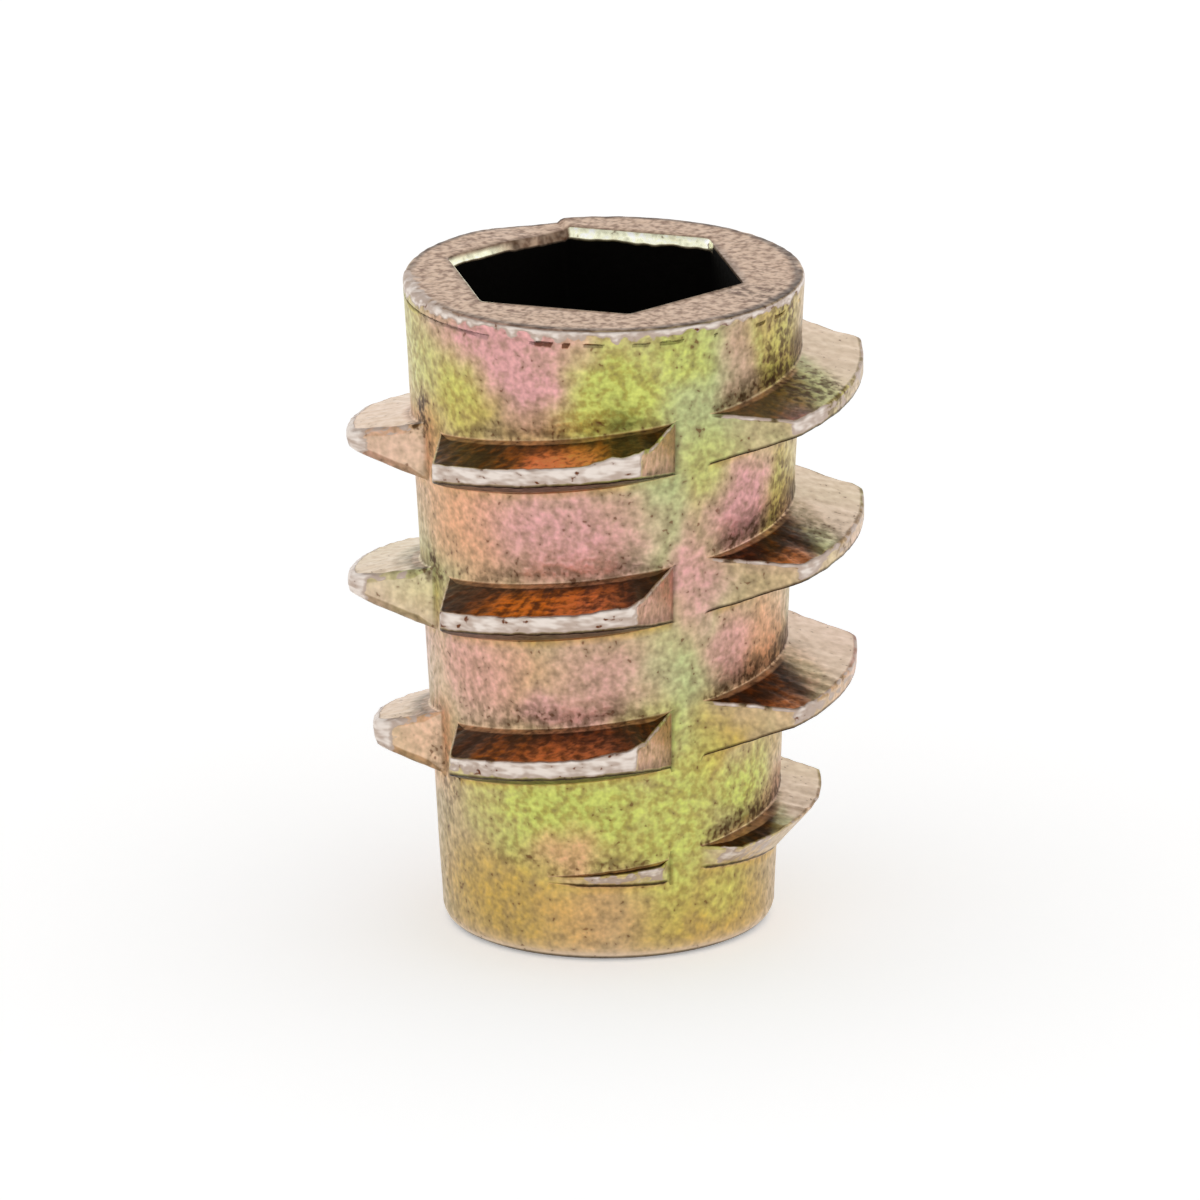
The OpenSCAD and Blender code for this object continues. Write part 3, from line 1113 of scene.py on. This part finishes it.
def chromateZinc():
    f = Finish("chromateZinc")
    colour = {name: fromScreen(*rgb) for name, rgb in chromate.items() if isinstance(rgb, tuple)}
    sand = f.noise(chromate["grainPerMm"] / mm, 2.0)
    pepper = f.noise(chromate["pepperPerMm"] / mm, 0.0)
    fleck = f.noise(chromate["grainPerMm"] * 0.5 / mm, 2.0, 0.6)
    cloud = f.noise(chromate["cloudPerMm"] / mm, 4.0, 0.65)
    dash = f.noise(1.0, 1.0, 0.5, f.along(0.3, 3.0, 8.0))
    streak = f.noise(1.0, 2.0, 0.6, f.along(0.5, 0.7, 0.7))

    # the passivated skin: tan, with soft patches whose strength wanders
    skinColour = f.mix(f.ramp(cloud, 0.35, 0.65), colour["dun"], colour["tan"])
    wandering = f.total(0.95, f.swing(fleck, 0.6), f.swing(sand, 0.9))
    for name in ("gold", "mint", "green", "copper", "rose"):
        patchColour = colour[name]
        if name == "green":
            patchColour = f.mix(f.ramp(sand, 0.56, 0.38), colour["green"], colour["moss"])
        skinColour = f.mix(f.times(f.tint(name), wandering), skinColour, patchColour)
    sandy = f.ramp(f.blend((sand, 0.55), (fleck, 0.2), (pepper, 0.25)), 0.36, 0.58)
    skinColour = f.mix(f.tint("face"), skinColour, f.mix(sandy, colour["faceDark"], colour["face"]))
    # painted light: the pale tint on lit flanks, crests, fillets and roots
    skinColour = f.mix(f.times(f.tint("pale"), 0.8), skinColour, colour["pale"])
    # the painted highlight on the socket's bevel
    skinColour = f.mix(f.tint("bevel"), skinColour, colour["cream"])

    # the upper flanks: painted shade, dark and streaked, with painted reflections of warm light caught
    # between them and the sleeve
    mottle = f.blend((streak, 0.45), (sand, 0.3), (fleck, 0.25))
    flank = f.mix(f.ramp(mottle, 0.44, 0.66), colour["darkBrown"], colour["brown"])
    flank = f.mix(f.times(f.tint("amber"), f.ramp(mottle, 0.38, 0.6, 0.3, 1.1)), flank, colour["amber"])
    flank = f.mix(f.times(f.tint("ember"), f.ramp(sand, 0.3, 0.6, 0.5, 1.1)), flank, colour["ember"])
    skinColour = f.mix(f.tint("upper"), skinColour, flank)
    # painted highlight along the fillet at each fin's upper root
    strip = f.times(f.tint("strip"), f.ramp(dash, 0.25, 0.45, 0.4, 0.95))
    skinColour = f.mix(strip, skinColour, colour["strip"])

    # speckle: the sand takes the colour lighter and darker, less so on pale flanks and the rim's face
    speckle = f.total(f.swing(fleck, 0.4), f.swing(sand, 1.1), f.swing(pepper, 0.4))
    calmer = f.math("MAXIMUM", f.times(f.tint("pale"), 0.8), f.times(f.tint("face"), 0.6))
    calm = f.math("SUBTRACT", 1.0, calmer)
    speckled = f.nodes.new("ShaderNodeVectorMath")
    speckled.operation = "SCALE"
    f.feed(speckled.inputs[0], skinColour)
    f.feed(speckled.inputs["Scale"], f.total(1.07, f.times(speckle, calm)))

    # dark pits, more of them in the painted shade above the roots, which is then darkened in speckles
    pits = f.math("SUBTRACT", f.blend((fleck, 0.5), (pepper, 0.5)), f.times(f.tint("speckledShade"), 0.15))
    skinColour = f.mix(f.times(f.ramp(pits, 0.35, 0.28), 0.6), speckled.outputs[0], colour["pit"])
    patchy = f.ramp(f.blend((sand, 0.65), (streak, 0.35)), 0.57, 0.41, 0.15, 0.95)
    skinColour = f.mix(f.times(f.tint("speckledShade"), patchy), skinColour, colour["shadeBrown"])
    # the crease and under marks go to a dark brown: painted shade in the creases, under the crests, at the
    # fins' ends and in the socket; on the rim and the right-hand fins' upper edges they are dark specks and
    # lines
    dark = f.math("MAXIMUM", f.times(f.tint("crease"), 0.85), f.tint("under"))
    shadow = f.mix(f.ramp(dash, 0.4, 0.6), colour["shadow"], colour["darkBrown"])
    skinColour = f.mix(dark, skinColour, shadow)

    # bare metal where rubbed, which also carries the painted highlights on crests and edges; its border
    # broken up, with dark flecks left in it
    thin = f.ramp(f.total(dash, f.swing(f.tint("wearAndHighlight"), 0.7, 1.0)), 0.24, 0.66)
    bare = f.mix(thin, colour["bareGrey"], colour["bare"])
    bare = f.mix(f.ramp(f.blend((sand, 0.6), (dash, 0.4)), 0.39, 0.32), bare, colour["pit"])
    torn = f.total(f.tint("wearAndHighlight"), f.swing(dash, 0.9), f.swing(sand, 0.5))
    skinColour = f.mix(f.ramp(torn, 0.38, 0.56), skinColour, bare)
    # painted shade inside the socket and the bore
    skinColour = f.mix(f.tint("inside"), skinColour, colour["deepShade"])
    f.feed(f.shader.inputs["Base Color"], skinColour)
    f.shader.inputs["Metallic"].default_value = chromate["metallic"]
    rough = f.total(f.ramp(sand, 0.3, 0.7, 0.46, 0.3), f.times(f.tint("inside"), 0.4))
    rough = f.math("SUBTRACT", rough, f.times(f.tint("bevel"), 0.22))
    f.feed(f.shader.inputs["Roughness"], rough)

    bump = f.nodes.new("ShaderNodeBump")
    bump.inputs["Strength"].default_value = 1.0
    bump.inputs["Distance"].default_value = chromate["grainDepth"] * mm
    rubMarks = f.times(f.times(f.tint("wearAndHighlight"), dash), 3.0)
    f.feed(bump.inputs["Height"], f.total(f.times(f.total(sand, fleck), calm), rubMarks))
    f.feed(f.shader.inputs["Normal"], bump.outputs[0])
    return f.material


insertBody.data.materials.append(chromateZinc())
print("finish made")

# The floor and the light: white all round at the horizon, softer overhead
studio = {
    "floorSize": 0.6,
    "floorColour": (0.96, 0.96, 0.96, 1),
    "floorRoughness": 0.95,
    "horizon": 1.0,
    "horizonBand": 0.35,      # up to here, as a share of straight up, the light stays full
    "overhead": 0.55,
    "floorLift": 0.3,         # what the floor adds to reach white, its shadow kept
}


def whereSeen(tree):
    # 1 for what the camera sees, straight or in a reflection
    path = tree.nodes.new("ShaderNodeLightPath")
    seen = path.outputs["Is Camera Ray"]
    for name in ("Is Glossy Ray", "Is Transmission Ray"):
        either = tree.nodes.new("ShaderNodeMath")
        either.operation = "MAXIMUM"
        tree.links.new(seen, either.inputs[0])
        tree.links.new(path.outputs[name], either.inputs[1])
        seen = either.outputs[0]
    return seen


def makeFloor():
    mesh = bpy.data.meshes.new("floor")
    half = studio["floorSize"] / 2
    corners = [(-half, -half, 0), (half, -half, 0), (half, half, 0), (-half, half, 0)]
    mesh.from_pydata(corners, [], [(0, 1, 2, 3)])
    floor = bpy.data.objects.new("floor", mesh)
    scene.collection.objects.link(floor)
    paper = bpy.data.materials.new("whitePaper")
    paper.use_nodes = True
    tree = paper.node_tree
    shader = tree.nodes["Principled BSDF"]
    shader.inputs["Base Color"].default_value = studio["floorColour"]
    shader.inputs["Roughness"].default_value = studio["floorRoughness"]
    shader.inputs["Emission Color"].default_value = (1, 1, 1, 1)
    lift = tree.nodes.new("ShaderNodeMath")
    lift.operation = "MULTIPLY"
    lift.inputs[1].default_value = studio["floorLift"]
    tree.links.new(whereSeen(tree), lift.inputs[0])
    tree.links.new(lift.outputs[0], shader.inputs["Emission Strength"])
    mesh.materials.append(paper)


def makeWorld():
    world = bpy.data.worlds.new("studio")
    scene.world = world
    world.use_nodes = True
    tree = world.node_tree
    background = tree.nodes["Background"]
    background.inputs["Color"].default_value = (1, 1, 1, 1)
    direction = tree.nodes.new("ShaderNodeTexCoord")
    height = tree.nodes.new("ShaderNodeSeparateXYZ")
    fall = tree.nodes.new("ShaderNodeMapRange")
    fall.inputs["From Min"].default_value = studio["horizonBand"]
    fall.inputs["To Min"].default_value = studio["horizon"]
    fall.inputs["To Max"].default_value = studio["overhead"]
    tree.links.new(direction.outputs["Generated"], height.inputs[0])
    tree.links.new(height.outputs["Z"], fall.inputs["Value"])
    tree.links.new(fall.outputs["Result"], background.inputs["Strength"])


makeFloor()
makeWorld()

# The camera stands where the photograph was taken from
photoView = {
    "azimuth": 18.45,         # degrees round from -Y
    "elevation": 17.49,
    "lean": -0.45,            # degrees that the picture is turned
    "distance": 600.0,        # mm
    "pixelsPerMm": 44.6,      # at the insert's middle
    "middle": (606.2, 593.2),  # where that middle lands, in pixels
    "picture": 1200,
}


def makeCamera(view):
    azimuth, elevation, lean = (toRad(view[k]) for k in ("azimuth", "elevation", "lean"))
    back = Vector((math.sin(azimuth) * math.cos(elevation), -math.cos(azimuth) * math.cos(elevation),
                   math.sin(elevation)))
    right = Vector((math.cos(azimuth), math.sin(azimuth), 0))
    up = back.cross(right)
    right, up = right * math.cos(lean) + up * math.sin(lean), up * math.cos(lean) - right * math.sin(lean)
    centre = Vector((0, 0, sleeve["length"] / 2))
    centre += right * (view["picture"] / 2 - view["middle"][0]) / view["pixelsPerMm"]
    centre -= up * (view["picture"] / 2 - view["middle"][1]) / view["pixelsPerMm"]
    camera = bpy.data.objects.new("camera", bpy.data.cameras.new("camera"))
    camera.data.lens = view["pixelsPerMm"] * view["distance"] * camera.data.sensor_width / view["picture"]
    camera.data.clip_start = 0.01
    camera.matrix_world = Matrix((right, up, back)).transposed().to_4x4()
    camera.location = (centre + back * view["distance"]) * mm
    scene.collection.objects.link(camera)
    scene.camera = camera


makeCamera(photoView)
scene.view_settings.view_transform = "Standard"
